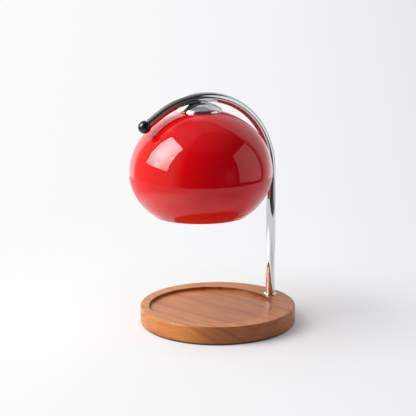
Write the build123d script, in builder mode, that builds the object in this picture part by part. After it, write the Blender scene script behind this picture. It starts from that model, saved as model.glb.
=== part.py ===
from build123d import *
import os
from math import acos, asin, atan2, cos, degrees, radians, sin, sqrt

# Candle warmer lamp. Lengths are millimetres, +Z is up. The origin is the centre of the base's
# resting face. The arm stands in the XZ plane: its stem at +X, its ball knob towards -X.

# ---------------------------------------------------------------- driving dimensions
# Base board and pad
base_radius = 100.0
board_thickness = 22.0
board_top_round = 1.4
board_bottom_round = 1.5
front_rim_width = 10.5
stem_land_width = 29.5
recess_depth = 4.0
recess_lip_round = 0.7
recess_floor_round = 0.8
pad_thickness = 1.5
pad_inset = 2.5

# Wiring pocket in the board's underside
pocket_roof = 5.0
pocket_reach = 33.0
pocket_far_radius = 18.0
stem_well_radius = 11.3
stem_well_rise = 2.0
cover_thickness = 1.5
cover_clearance = 0.25
cover_margin_far = 8.0
cover_margin_stem = 2.7
cover_screw_angles = (90.0, 150.0, 210.0, 270.0)
cover_screw_radius = 1.5
cover_screw_head_radius = 2.8
cover_screw_length = 10.0

# Cord gland in the board's rear edge
gland_angle = 16.0
gland_length = 12.0
gland_radius = 4.0
gland_flange_radius = 5.5
gland_flange_thickness = 1.6
gland_bore_radius = 2.7
gland_flat_depth = 1.2
gland_edge_round = 0.5

# Stem, arch and ball
stem_inset = 19.0
tube_radius = 6.0
tube_wall = 1.0
arch_start_height = 192.0
arch_front_radius = 115.0
arch_front_angle = 33.0
arm_end_length = 23.6
ball_radius = 8.0
ball_seat = 5.5
end_plug_length = 12.0
ball_stud_radius = 2.5
ball_stud_length = 14.0

# Stem bush, its nut and the swing stop
swing_limit = 40.0
bush_running_clearance = 0.05
bush_wall = 1.25
bush_flange_width = 1.2
bush_flange_height = 2.0
bush_flange_round = 1.3
bush_hole_clearance = 0.1
bush_length = 11.5
bush_lip = 2.0
bush_nut_flats = 19.0
bush_nut_height = 3.0
bush_washer_radius = 11.0
bush_washer_thickness = 1.0
ferrule_length = 16.0
shank_radius = 4.0
shank_clearance = 0.08
shank_length = 4.2
ferrule_bore_radius = 2.0
groove_depth = 0.8
ring_radius = 6.5
ring_thickness = 0.8
ring_gap = 3.0
wave_washer_radius = 6.8
wave_washer_thickness = 0.6
thrust_clearance = 0.05
stop_pin_radius = 1.0
stop_pin_rise = 1.6
stop_pin_inner = 2.6
stop_pin_outer = 7.1
stop_pin_side_clearance = 0.05
stop_window_clearance = 0.2
nut_chamfer = 0.4

# Terminal block and leads
block_length = 16.0
block_width = 18.0
block_height = 9.0
block_corner_round = 1.0
wire_spacing = 9.0
wire_hole_radius = 1.5
clamp_screw_radius = 1.25
clamp_screw_length = 3.0
clamp_screw_inset = 4.0
fixing_screw_radius = 1.25
fixing_screw_head_radius = 2.3
fixing_screw_head_height = 1.2
fixing_screw_head_round = 0.5
fixing_screw_length = 12.0
lead_radius = 0.8
lead_pitch = 1.9
lead_drop = 4.5
lead_bend_radius = 2.0
lead_gap = 0.3
lead_entry = 3.0
cable_radius = 1.5
cable_bend_radius = 4.0

# Hanger and dome cap
hanger_radius = 4.0
hanger_bore_radius = 2.3
hanger_entry = 3.0
hanger_spare = 3.6
dome_radius = 27.5
dome_gap = 0.2
dome_saddle_depth = 1.2
dome_rim_round = 5.0
dome_wall = 0.8
dome_hole_clearance = 0.1

# Shade: two half ellipsoids on one equator, cut flat at the crown and open at the rim
shade_radius = 90.0
shade_stem_gap = 9.0
shade_arch_offset = 5.0
crown_drop = 15.14
shade_upper_height = 78.5
shade_lower_height = 72.5
shade_rim_radius = 60.0
shade_wall = 1.0
crown_radius = 16.0
hanger_hole_clearance = 0.1

# Washers and nuts that clamp the shade on the hanger
crown_washer_radius = 11.0
crown_washer_thickness = 1.0
shade_nut_flats = 13.0
shade_nut_height = 4.0

# Lamp holder and its bracket
bracket_width = 12.0
bracket_thickness = 1.2
bracket_half_span = 12.0
bracket_drop = 23.2
bracket_foot_length = 8.0
bracket_bend_round = 1.0
holder_radius = 12.5
holder_height = 18.0
holder_ear_thickness = 5.0
holder_ear_width = 12.0
holder_screw_offset = 16.0
holder_screw_radius = 1.5
holder_screw_clearance = 0.1
holder_screw_head_radius = 2.75
holder_screw_head_height = 1.9
holder_screw_head_round = 0.8
holder_nut_flats = 5.5
holder_nut_height = 2.4
holder_screw_spare = 0.6
holder_ledge = 2.0
holder_cavity_inner = 1.9
holder_cavity_outer = 8.1
holder_cavity_height = 5.7
contact_radius = 2.2
contact_clearance = 0.1
cable_entry_depth = 6.0
cable_entry_clearance = 0.1

# GU10 reflector bulb
pin_spacing = 10.0
pin_radius = 1.5
pin_head_radius = 2.5
pin_head_height = 2.5
pin_head_clearance = 0.1
pin_slot_clearance = 0.3
pin_root = 5.0
bulb_release_angle = 35.0
bulb_base_clearance = 0.15
bulb_base_radius = 9.4
bulb_base_flange_radius = 10.6
bulb_base_flange_height = 5.0
bulb_base_height = 14.2
bulb_base_round = 0.8
bulb_front_radius = 25.0
bulb_length = 51.4
bulb_wall = 1.2
lens_thickness = 2.0
lens_clearance = 0.1
lens_round = 0.8
capsule_radius = 4.5
capsule_length = 19.0
capsule_end_round = 3.6

quarter_turn = 90

# ---------------------------------------------------------------- derived heights and places
board_bottom = pad_thickness
board_top = board_bottom + board_thickness
recess_floor = board_top - recess_depth
pocket_ceiling = recess_floor - pocket_roof
well_ceiling = pocket_ceiling + stem_well_rise
cover_top = board_bottom + cover_thickness
recess_radius = base_radius - (front_rim_width + stem_land_width) / 2
recess_shift = (stem_land_width - front_rim_width) / 2
stem_x = base_radius - stem_inset
pocket_far_x = stem_x - pocket_reach

bush_bottom = board_top - bush_length
bush_bore_radius = tube_radius + bush_running_clearance
bush_sleeve_radius = bush_bore_radius + bush_wall
bush_flange_radius = bush_sleeve_radius + bush_flange_width
lip_top = bush_bottom + bush_lip
tube_foot = lip_top + thrust_clearance
tube_inner_radius = tube_radius - tube_wall
stop_pin_height = tube_foot + stop_pin_rise
window_half_angle = swing_limit + degrees(
    asin((stop_pin_radius + stop_pin_side_clearance) / bush_bore_radius)
)
washer_bottom = well_ceiling - bush_washer_thickness
wave_washer_top = bush_bottom - thrust_clearance
ring_top = wave_washer_top - wave_washer_thickness
ferrule_bottom = tube_foot - shank_length

shade_x = stem_x - tube_radius - shade_stem_gap - shade_radius
arch_rear_radius = stem_x - shade_x - shade_arch_offset
arch_top = arch_start_height + arch_rear_radius
front_arc_height = arch_top - arch_front_radius
tube_height_at_shade = front_arc_height + sqrt(arch_front_radius**2 - shade_arch_offset**2)


def upper_height(radius):
    """Height of the shade's upper outside above its equator, at a radius from the axis."""
    return shade_upper_height * sqrt(1 - (radius / shade_radius) ** 2)


crown_height = tube_height_at_shade - crown_drop
shade_equator_height = crown_height - upper_height(crown_radius)
dome_seat = shade_equator_height + upper_height(dome_radius - dome_wall)
dome_height = tube_height_at_shade - tube_radius - dome_gap + dome_saddle_depth - dome_seat
hanger_top = tube_height_at_shade - hanger_entry
crown_underside = crown_height - shade_wall
bracket_top = crown_underside - crown_washer_thickness
lower_nut_top = bracket_top - bracket_thickness
hanger_length = hanger_top - lower_nut_top + shade_nut_height + hanger_spare
holder_top = bracket_top - bracket_drop
holder_bottom = holder_top - holder_height
ledge_top = holder_bottom + holder_ledge
cavity_roof = ledge_top + holder_cavity_height
pin_circle = pin_spacing / 2
pin_head_bottom = ledge_top + pin_head_clearance
pin_head_top = pin_head_bottom + pin_head_height
bulb_top = holder_bottom - bulb_base_clearance
bulb_front = bulb_top - bulb_length
bulb_neck_height = bulb_top - bulb_base_flange_height
block_bottom = pocket_ceiling - block_height
wire_height = block_bottom + block_height / 2
cable_end_height = holder_top - cable_entry_depth + cable_entry_clearance

stem_axis = Axis((stem_x, 0, 0), (0, 0, 1))
shade_axis = Axis((shade_x, 0, 0), (0, 0, 1))


def hex_prism(x, y, bottom, height, flats, bore):
    """A hexagonal nut with a plain bore, standing on a level plane."""
    with BuildPart() as nut:
        with BuildSketch(Plane((x, y, bottom))):
            RegularPolygon(flats / 2, 6, major_radius=False)
            Circle(bore, mode=Mode.SUBTRACT)
        extrude(amount=height)
        chamfer(nut.faces().sort_by(Axis.Z)[-1].outer_wire().edges(), length=nut_chamfer)
    return nut.part


def ring(x, y, bottom, height, outer, inner):
    """A plain washer."""
    with BuildPart() as washer:
        with BuildSketch(Plane((x, y, bottom))):
            Circle(outer)
            Circle(inner, mode=Mode.SUBTRACT)
        extrude(amount=height)
    return washer.part


def arm_path(start_height):
    """Centre line of the arm from a height on the stem to the tube's end at the ball."""
    with BuildLine(Plane.XZ) as path:
        stem = Line((stem_x, start_height), (stem_x, arch_start_height))
        rear = JernArc(stem @ 1, stem % 1, arch_rear_radius, quarter_turn)
        front = JernArc(rear @ 1, rear % 1, arch_front_radius, arch_front_angle)
        PolarLine(front @ 1, arm_end_length - ball_seat, direction=front % 1)
    return path.line


def pocket_outline(far_extra, stem_extra):
    """Outline of the wiring pocket, grown by a margin at each end: the hull of two circles."""
    with BuildSketch() as outline:
        with Locations((pocket_far_x, 0)):
            Circle(pocket_far_radius + far_extra)
        with Locations((stem_x, 0)):
            Circle(stem_well_radius + stem_extra)
        make_hull(outline.edges())
    return outline.sketch


arm_line = arm_path(tube_foot)
arm_end_direction = (arm_line % 1).normalized()
arm_end = arm_line @ 1
ball_centre = arm_end + arm_end_direction * ball_seat
ball_plane = Plane(ball_centre, z_dir=-arm_end_direction)
pocket_shape = pocket_outline(0, 0)
cover_shape = pocket_outline(cover_margin_far, cover_margin_stem)
rebate_shape = pocket_outline(cover_margin_far + cover_clearance, cover_margin_stem + cover_clearance)
cover_screw_circle = pocket_far_radius + cover_margin_far / 2
cover_screw_places = [
    (pocket_far_x + cover_screw_circle * cos(radians(a)), cover_screw_circle * sin(radians(a)))
    for a in cover_screw_angles
]
gland_direction = Vector(cos(radians(gland_angle)), sin(radians(gland_angle)), 0)
gland_height = (cover_top + pocket_ceiling) / 2
gland_face = base_radius - gland_flat_depth
gland_plane = Plane(gland_direction * gland_face + Vector(0, 0, gland_height), z_dir=gland_direction)
block_places = [(pocket_far_x, side * wire_spacing / 2) for side in (-1, 1)]

# ---------------------------------------------------------------- base
with BuildPart() as base_board:
    with BuildSketch(Plane.XY.offset(board_bottom)):
        Circle(base_radius)
    extrude(amount=board_thickness)
    fillet(base_board.edges().group_by(Axis.Z)[-1], radius=board_top_round)
    fillet(base_board.edges().group_by(Axis.Z)[0], radius=board_bottom_round)
    with BuildSketch(Plane.XY.offset(board_top)):
        with Locations((-recess_shift, 0)):
            Circle(recess_radius)
    extrude(amount=-recess_depth, mode=Mode.SUBTRACT)
    recess_edges = base_board.edges().filter_by(GeomType.CIRCLE).filter_by(
        lambda e: abs(e.radius - recess_radius) < 0.01
    )
    fillet(recess_edges.sort_by(Axis.Z)[0], radius=recess_floor_round)
    lip = base_board.edges().filter_by(GeomType.CIRCLE).filter_by(
        lambda e: abs(e.radius - recess_radius) < 0.01
    )
    fillet(lip.sort_by(Axis.Z)[-1], radius=recess_lip_round)
    with BuildSketch(Plane.XY.offset(board_bottom)):
        add(pocket_shape)
    extrude(amount=pocket_ceiling - board_bottom, mode=Mode.SUBTRACT)
    with BuildSketch(Plane.XY.offset(board_bottom)):
        add(rebate_shape)
    extrude(amount=cover_thickness, mode=Mode.SUBTRACT)
    with BuildSketch(Plane.XY.offset(board_bottom)):
        with Locations((stem_x, 0)):
            Circle(stem_well_radius)
    extrude(amount=well_ceiling - board_bottom, mode=Mode.SUBTRACT)
    with BuildSketch(Plane.XY.offset(board_top)):
        with Locations((stem_x, 0)):
            Circle(bush_sleeve_radius + bush_hole_clearance)
    extrude(amount=-board_thickness, mode=Mode.SUBTRACT)
    with BuildSketch(Plane.XY.offset(cover_top)):
        with Locations(cover_screw_places):
            Circle(cover_screw_radius)
    extrude(amount=cover_screw_length - cover_thickness, mode=Mode.SUBTRACT)
    with BuildSketch(Plane.XY.offset(pocket_ceiling)):
        with Locations((pocket_far_x, 0)):
            Circle(fixing_screw_radius)
    extrude(amount=fixing_screw_length - block_height, mode=Mode.SUBTRACT)
    with BuildSketch(gland_plane):
        Circle(gland_radius)
    extrude(amount=-(gland_face - pocket_far_x * cos(radians(gland_angle))), mode=Mode.SUBTRACT)
    with BuildSketch(gland_plane):
        Circle(gland_flange_radius + cover_clearance)
    extrude(amount=2 * gland_flat_depth, mode=Mode.SUBTRACT)
base_board.part.label = "base_board"

with BuildPart() as base_pad:
    with BuildSketch():
        Circle(base_radius - pad_inset)
    extrude(amount=pad_thickness)
    with BuildSketch():
        add(rebate_shape)
    extrude(amount=pad_thickness, mode=Mode.SUBTRACT)
base_pad.part.label = "base_pad"

with BuildPart() as bottom_cover:
    with BuildSketch(Plane.XY.offset(board_bottom)):
        add(cover_shape)
    extrude(amount=cover_thickness)
    with Locations([(x, y, board_bottom) for x, y in cover_screw_places]):
        Cone(
            cover_screw_head_radius, cover_screw_radius, cover_thickness,
            align=(Align.CENTER, Align.CENTER, Align.MIN), mode=Mode.SUBTRACT,
        )
bottom_cover.part.label = "bottom_cover"

with BuildPart() as cover_screws:
    with Locations([(x, y, board_bottom) for x, y in cover_screw_places]):
        Cone(
            cover_screw_head_radius, cover_screw_radius, cover_thickness,
            align=(Align.CENTER, Align.CENTER, Align.MIN),
        )
    with BuildSketch(Plane.XY.offset(cover_top)):
        with Locations(cover_screw_places):
            Circle(cover_screw_radius)
    extrude(amount=cover_screw_length - cover_thickness)
cover_screws.part.label = "cover_screws"

with BuildPart() as stem_bush:
    with BuildSketch(Plane.XZ):
        with BuildLine():
            Polyline(
                (stem_x + bush_bore_radius, lip_top),
                (stem_x + bush_bore_radius, board_top + bush_flange_height),
                (stem_x + bush_flange_radius, board_top + bush_flange_height),
                (stem_x + bush_flange_radius, board_top),
                (stem_x + bush_sleeve_radius, board_top),
                (stem_x + bush_sleeve_radius, bush_bottom),
                (stem_x + shank_radius + shank_clearance, bush_bottom),
                (stem_x + shank_radius + shank_clearance, lip_top),
                close=True,
            )
        make_face()
    revolve(axis=stem_axis)
    flange_edges = stem_bush.edges().filter_by(GeomType.CIRCLE).filter_by(
        lambda e: abs(e.radius - bush_flange_radius) < 0.01
    )
    fillet(flange_edges.sort_by(Axis.Z)[-1], radius=bush_flange_round)
    with BuildSketch(Plane((stem_x, 0, stop_pin_height - stop_pin_radius - stop_window_clearance))):
        with BuildLine():
            window_arc = CenterArc(
                (0, 0), stem_well_radius, 180 - window_half_angle, 2 * window_half_angle
            )
            Line((0, 0), window_arc @ 0)
            Line(window_arc @ 1, (0, 0))
        make_face()
        Circle(tube_radius, mode=Mode.SUBTRACT)
    extrude(amount=2 * (stop_pin_radius + stop_window_clearance), mode=Mode.SUBTRACT)
stem_bush.part.label = "stem_bush"

bush_washer = ring(
    stem_x, 0, washer_bottom, bush_washer_thickness, bush_washer_radius,
    bush_sleeve_radius + bush_hole_clearance,
)
bush_washer.label = "bush_washer"

bush_nut = hex_prism(
    stem_x, 0, washer_bottom - bush_nut_height, bush_nut_height, bush_nut_flats, bush_sleeve_radius
)
bush_nut.label = "bush_nut"

with BuildPart() as cord_gland:
    with BuildSketch(gland_plane):
        Circle(gland_flange_radius)
    extrude(amount=gland_flange_thickness)
    outer_face = cord_gland.faces().sort_by(Axis(gland_plane.origin, gland_direction))[-1]
    fillet(outer_face.edges(), radius=gland_edge_round)
    with BuildSketch(gland_plane):
        Circle(gland_radius)
    extrude(amount=-gland_length)
    with BuildSketch(gland_plane.offset(gland_flange_thickness)):
        Circle(gland_bore_radius)
    extrude(amount=-(gland_flange_thickness + gland_length), mode=Mode.SUBTRACT)
cord_gland.part.label = "cord_gland"

with BuildPart() as terminal_block:
    with Locations((pocket_far_x, 0, block_bottom)):
        Box(block_length, block_width, block_height, align=(Align.CENTER, Align.CENTER, Align.MIN))
    fillet(terminal_block.edges().filter_by(Axis.Z), radius=block_corner_round)
    with BuildSketch(Plane.YZ.offset(pocket_far_x - block_length / 2)):
        with Locations([(y, wire_height) for _, y in block_places]):
            Circle(wire_hole_radius)
    extrude(amount=block_length, mode=Mode.SUBTRACT)
    with BuildSketch(Plane.XY.offset(block_bottom)):
        with Locations((pocket_far_x, 0)):
            Circle(fixing_screw_radius)
    extrude(amount=block_height, mode=Mode.SUBTRACT)
    with BuildSketch(Plane.XY.offset(block_bottom)):
        for side in (-1, 1):
            with Locations([(x + side * clamp_screw_inset, y) for x, y in block_places]):
                Circle(clamp_screw_radius)
    extrude(amount=block_height / 2, mode=Mode.SUBTRACT)
terminal_block.part.label = "terminal_block"

with BuildPart() as terminal_screws:
    with BuildSketch(Plane.XY.offset(block_bottom)):
        for side in (-1, 1):
            with Locations([(x + side * clamp_screw_inset, y) for x, y in block_places]):
                Circle(clamp_screw_radius)
    extrude(amount=clamp_screw_length)
terminal_screws.part.label = "terminal_screws"

with BuildPart() as block_screw:
    with BuildSketch(Plane.XY.offset(block_bottom)):
        with Locations((pocket_far_x, 0)):
            Circle(fixing_screw_radius)
    extrude(amount=fixing_screw_length)
    with BuildSketch(Plane.XY.offset(block_bottom)):
        with Locations((pocket_far_x, 0)):
            Circle(fixing_screw_head_radius)
    extrude(amount=-fixing_screw_head_height)
    fillet(block_screw.edges().sort_by(Axis.Z)[0], radius=fixing_screw_head_round)
block_screw.part.label = "block_screw"

with BuildPart() as base_leads:
    for side in (-1, 1):
        lead_start = (stem_x, side * lead_pitch / 2, ferrule_bottom - lead_gap)
        lead_low = (stem_x, side * lead_pitch / 2, ferrule_bottom - lead_drop)
        lead_run = (stem_x - stem_well_radius, side * lead_pitch, ferrule_bottom - lead_drop)
        block_face = pocket_far_x + block_length / 2
        lead_rise = (block_face + lead_entry, side * wire_spacing / 2, wire_height)
        lead_end = (block_face - lead_entry, side * wire_spacing / 2, wire_height)
        with BuildLine() as lead_path:
            FilletPolyline(
                lead_start, lead_low, lead_run, lead_rise, lead_end, radius=lead_bend_radius
            )
        with BuildSketch(Plane(lead_path.line @ 0, z_dir=lead_path.line % 0)):
            Circle(lead_radius)
        sweep(path=lead_path.line)
base_leads.part.label = "base_leads"

# ---------------------------------------------------------------- arm
with BuildPart() as arm_tube:
    with BuildSketch(Plane(arm_line @ 0, z_dir=arm_line % 0)):
        Circle(tube_radius)
        Circle(tube_inner_radius, mode=Mode.SUBTRACT)
    sweep(path=arm_line)
    with BuildSketch(Plane((shade_x, 0, tube_height_at_shade))):
        Circle(hanger_radius)
    extrude(amount=-2 * tube_radius, mode=Mode.SUBTRACT)
    with BuildSketch(Plane((stem_x, 0, stop_pin_height), z_dir=(-1, 0, 0))):
        Circle(stop_pin_radius)
    extrude(amount=2 * tube_radius, mode=Mode.SUBTRACT)
arm_tube.part.label = "arm_tube"

with BuildPart() as stem_ferrule:
    with BuildSketch(Plane((stem_x, 0, tube_foot))):
        Circle(tube_inner_radius)
    extrude(amount=ferrule_length)
    with BuildSketch(Plane((stem_x, 0, tube_foot))):
        Circle(shank_radius)
    extrude(amount=-shank_length)
    with BuildSketch(Plane((stem_x, 0, ring_top))):
        Circle(stem_well_radius)
        Circle(shank_radius - groove_depth, mode=Mode.SUBTRACT)
    extrude(amount=-ring_thickness, mode=Mode.SUBTRACT)
    with BuildSketch(Plane((stem_x, 0, ferrule_bottom))):
        Circle(ferrule_bore_radius)
    extrude(amount=shank_length + ferrule_length, mode=Mode.SUBTRACT)
    with BuildSketch(Plane((stem_x, 0, stop_pin_height), z_dir=(-1, 0, 0))):
        Circle(stop_pin_radius)
    extrude(amount=2 * tube_radius, mode=Mode.SUBTRACT)
stem_ferrule.part.label = "stem_ferrule"

with BuildPart() as stop_pin:
    with BuildSketch(Plane((stem_x - stop_pin_inner, 0, stop_pin_height), z_dir=(-1, 0, 0))):
        Circle(stop_pin_radius)
    extrude(amount=stop_pin_outer - stop_pin_inner)
stop_pin.part.label = "stop_pin"

wave_washer = ring(
    stem_x, 0, ring_top, wave_washer_thickness, wave_washer_radius, shank_radius + shank_clearance
)
wave_washer.label = "wave_washer"

with BuildPart() as retaining_ring:
    with BuildSketch(Plane((stem_x, 0, ring_top))):
        Circle(ring_radius)
        Circle(shank_radius - groove_depth, mode=Mode.SUBTRACT)
        with Locations((ring_radius / 2, 0)):
            Rectangle(ring_radius, ring_gap, mode=Mode.SUBTRACT)
    extrude(amount=-ring_thickness)
retaining_ring.part.label = "retaining_ring"

cable_front_run = shade_arch_offset - cable_bend_radius
cable_turn_angle = degrees(asin(cable_front_run / (arch_front_radius - cable_bend_radius)))
with BuildLine(Plane.XZ) as cable_path:
    cable_stem = Line((stem_x, ferrule_bottom), (stem_x, arch_start_height))
    cable_rear = JernArc(cable_stem @ 1, cable_stem % 1, arch_rear_radius, quarter_turn)
    cable_front = JernArc(cable_rear @ 1, cable_rear % 1, arch_front_radius, cable_turn_angle)
    cable_bend = JernArc(
        cable_front @ 1, cable_front % 1, cable_bend_radius, quarter_turn - cable_turn_angle
    )
    Line(cable_bend @ 1, ((cable_bend @ 1).X, cable_end_height))
with BuildPart() as arm_cable:
    with BuildSketch(Plane(cable_path.line @ 0, z_dir=cable_path.line % 0)):
        Circle(cable_radius)
    sweep(path=cable_path.line)
arm_cable.part.label = "arm_cable"

with BuildPart() as arm_end_plug:
    with BuildSketch(Plane(arm_end, z_dir=-arm_end_direction)):
        Circle(tube_inner_radius)
        Circle(ball_stud_radius, mode=Mode.SUBTRACT)
    extrude(amount=end_plug_length)
arm_end_plug.part.label = "arm_end_plug"

with BuildPart() as ball_stud:
    with BuildSketch(Plane(arm_end - arm_end_direction * (ball_stud_length / 2), z_dir=arm_end_direction)):
        Circle(ball_stud_radius)
    extrude(amount=ball_stud_length)
ball_stud.part.label = "ball_stud"

with BuildPart(ball_plane) as ball_knob:
    Sphere(ball_radius)
    split(bisect_by=ball_plane.offset(ball_seat), keep=Keep.BOTTOM)
    with BuildSketch(ball_plane.offset(ball_seat)):
        Circle(ball_stud_radius)
    extrude(amount=-ball_stud_length / 2, mode=Mode.SUBTRACT)
ball_knob.part.label = "ball_knob"

# ---------------------------------------------------------------- hanger, dome cap and shade
with BuildPart() as hanger_stud:
    with BuildSketch(Plane((shade_x, 0, hanger_top))):
        Circle(hanger_radius)
        Circle(hanger_bore_radius, mode=Mode.SUBTRACT)
    extrude(amount=-hanger_length)
hanger_stud.part.label = "hanger_stud"

with BuildPart() as dome_cap:
    with BuildSketch(Plane((shade_x, 0, dome_seat), x_dir=(1, 0, 0), z_dir=(0, -1, 0))):
        with BuildLine():
            rim_centre = dome_radius - dome_rim_round
            cap_rise = dome_height - dome_rim_round
            cap_centre = (rim_centre**2 - cap_rise**2) / (2 * cap_rise)
            cap_start = degrees(atan2(cap_centre, rim_centre))
            cap_span = quarter_turn - cap_start
            outer_rim = CenterArc((rim_centre, 0), dome_rim_round, 0, cap_start)
            outer_cap = CenterArc((0, -cap_centre), cap_centre + dome_height, cap_start, cap_span)
            inner_rim = CenterArc((rim_centre, 0), dome_rim_round - dome_wall, 0, cap_start)
            inner_cap = CenterArc(
                (0, -cap_centre), cap_centre + dome_height - dome_wall, cap_start, cap_span
            )
            Line(outer_rim @ 0, inner_rim @ 0)
            Line(outer_cap @ 1, inner_cap @ 1)
        make_face()
    revolve(axis=shade_axis)
    with BuildSketch(Plane((shade_x, 0, dome_seat))):
        Circle(hanger_radius + dome_hole_clearance)
    extrude(amount=2 * dome_height, mode=Mode.SUBTRACT)
    with Locations(Location((stem_x - arch_rear_radius, 0, front_arc_height), (quarter_turn, 0, 0))):
        Torus(arch_front_radius, tube_radius + dome_gap, mode=Mode.SUBTRACT)
dome_cap.part.label = "dome_cap"

with BuildPart() as shade:
    with BuildSketch(Plane((shade_x, 0, shade_equator_height), x_dir=(1, 0, 0), z_dir=(0, -1, 0))):
        with BuildLine():
            hole_radius = hanger_radius + hanger_hole_clearance
            inner_equator = shade_radius - shade_wall
            inner_rim_radius = shade_rim_radius - shade_wall
            outer_upper = EllipticalCenterArc(
                (0, 0), shade_radius, shade_upper_height,
                start_angle=0, arc_size=degrees(acos(crown_radius / shade_radius)),
            )
            inner_upper = EllipticalCenterArc(
                (0, 0), inner_equator, shade_upper_height - shade_wall,
                start_angle=0, arc_size=degrees(acos(crown_radius / inner_equator)),
            )
            outer_lower = EllipticalCenterArc(
                (0, 0), shade_radius, shade_lower_height,
                start_angle=0, arc_size=-degrees(acos(shade_rim_radius / shade_radius)),
            )
            inner_lower = EllipticalCenterArc(
                (0, 0), inner_equator, shade_lower_height - shade_wall,
                start_angle=0, arc_size=-degrees(acos(inner_rim_radius / inner_equator)),
            )
            crown_top = (hole_radius, upper_height(crown_radius))
            crown_bottom = (hole_radius, upper_height(crown_radius) - shade_wall)
            Line(outer_upper @ 1, crown_top)
            Line(crown_top, crown_bottom)
            Line(crown_bottom, (crown_radius, crown_bottom[1]))
            Line((crown_radius, crown_bottom[1]), inner_upper @ 1)
            Line(inner_lower @ 1, outer_lower @ 1)
        make_face()
    revolve(axis=shade_axis)
shade.part.label = "shade"

crown_washers = Compound(
    label="crown_washers",
    children=[
        ring(shade_x, 0, bottom, crown_washer_thickness, crown_washer_radius, hanger_radius)
        for bottom in (crown_height, crown_underside - crown_washer_thickness)
    ],
)

shade_nuts = Compound(
    label="shade_nuts",
    children=[
        hex_prism(shade_x, 0, bottom, shade_nut_height, shade_nut_flats, hanger_radius)
        for bottom in (crown_height + crown_washer_thickness, lower_nut_top - shade_nut_height)
    ],
)

# ---------------------------------------------------------------- lamp holder on its bracket
holder_screw_places = [(shade_x + side * holder_screw_offset, 0) for side in (-1, 1)]
holder_plane = Plane((shade_x, 0, holder_top))
foot_reach = bracket_half_span + bracket_foot_length
ear_bottom = holder_top - holder_ear_thickness

with BuildPart() as holder_bracket:
    with BuildSketch(Plane((shade_x, 0, bracket_top), x_dir=(1, 0, 0), z_dir=(0, -1, 0))):
        with BuildLine():
            half = bracket_half_span
            inner = bracket_half_span - bracket_thickness
            foot_top = bracket_thickness - bracket_drop
            FilletPolyline(
                (-foot_reach, foot_top), (-half, foot_top), (-half, 0), (half, 0),
                (half, foot_top), (foot_reach, foot_top),
                radius=bracket_bend_round,
            )
            Line((foot_reach, foot_top), (foot_reach, -bracket_drop))
            FilletPolyline(
                (foot_reach, -bracket_drop), (inner, -bracket_drop), (inner, -bracket_thickness),
                (-inner, -bracket_thickness), (-inner, -bracket_drop), (-foot_reach, -bracket_drop),
                radius=bracket_bend_round,
            )
            Line((-foot_reach, -bracket_drop), (-foot_reach, foot_top))
        make_face()
    extrude(amount=bracket_width / 2, both=True)
    with BuildSketch(Plane((shade_x, 0, bracket_top))):
        Circle(hanger_radius)
    extrude(amount=-bracket_drop / 2, mode=Mode.SUBTRACT)
    with BuildSketch(Plane.XY.offset(holder_top)):
        with Locations(holder_screw_places):
            Circle(holder_screw_radius + holder_screw_clearance)
    extrude(amount=bracket_thickness, mode=Mode.SUBTRACT)
holder_bracket.part.label = "holder_bracket"

with BuildPart() as holder_screws:
    for x, y in holder_screw_places:
        with BuildSketch(Plane((x, y, holder_top + bracket_thickness))):
            Circle(holder_screw_radius)
        shank = holder_ear_thickness + bracket_thickness + holder_nut_height + holder_screw_spare
        extrude(amount=-shank)
        with BuildSketch(Plane((x, y, holder_top + bracket_thickness))):
            Circle(holder_screw_head_radius)
        extrude(amount=holder_screw_head_height)
    fillet(holder_screws.edges().group_by(Axis.Z)[-1], radius=holder_screw_head_round)
holder_screws.part.label = "holder_screws"

holder_nuts = Compound(
    label="holder_nuts",
    children=[
        hex_prism(
            x, y, ear_bottom - holder_nut_height, holder_nut_height, holder_nut_flats,
            holder_screw_radius,
        )
        for x, y in holder_screw_places
    ],
)

with BuildPart() as lamp_holder:
    with BuildSketch(holder_plane):
        Circle(holder_radius)
    extrude(amount=-holder_height)
    with BuildSketch(holder_plane):
        SlotOverall(2 * foot_reach, holder_ear_width)
    extrude(amount=-holder_ear_thickness)
    with BuildSketch(Plane.XY.offset(holder_top)):
        with Locations(holder_screw_places):
            Circle(holder_screw_radius + holder_screw_clearance)
    extrude(amount=-holder_ear_thickness, mode=Mode.SUBTRACT)
    with BuildSketch(holder_plane):
        Circle(cable_radius + cable_entry_clearance)
    extrude(amount=-cable_entry_depth, mode=Mode.SUBTRACT)
    with BuildSketch(Plane((shade_x, 0, ledge_top))):
        Circle(holder_cavity_outer)
        Circle(holder_cavity_inner, mode=Mode.SUBTRACT)
    extrude(amount=holder_cavity_height, mode=Mode.SUBTRACT)
    with BuildSketch(Plane.XY.offset(holder_bottom)):
        for locked_angle in (0, 180):
            pin_sweep = CenterArc(
                (shade_x, 0), pin_circle, locked_angle - bulb_release_angle, bulb_release_angle,
                mode=Mode.PRIVATE,
            )
            SlotArc(pin_sweep, 2 * (pin_radius + pin_slot_clearance))
            with Locations(pin_sweep @ 0):
                Circle(pin_head_radius + pin_slot_clearance)
    extrude(amount=holder_ledge, mode=Mode.SUBTRACT)
lamp_holder.part.label = "lamp_holder"

with BuildPart() as holder_contacts:
    with BuildSketch(Plane((shade_x, 0, cavity_roof))):
        with PolarLocations(pin_circle, 2):
            Circle(contact_radius)
    extrude(amount=-(cavity_roof - pin_head_top - contact_clearance))
holder_contacts.part.label = "holder_contacts"

# ---------------------------------------------------------------- GU10 reflector bulb
with BuildPart() as bulb_pins:
    with BuildSketch(Plane((shade_x, 0, bulb_top - pin_root))):
        with PolarLocations(pin_circle, 2):
            Circle(pin_radius)
    extrude(amount=pin_root + pin_head_bottom - bulb_top)
    with BuildSketch(Plane((shade_x, 0, pin_head_bottom))):
        with PolarLocations(pin_circle, 2):
            Circle(pin_head_radius)
    extrude(amount=pin_head_height)
bulb_pins.part.label = "bulb_pins"

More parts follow.
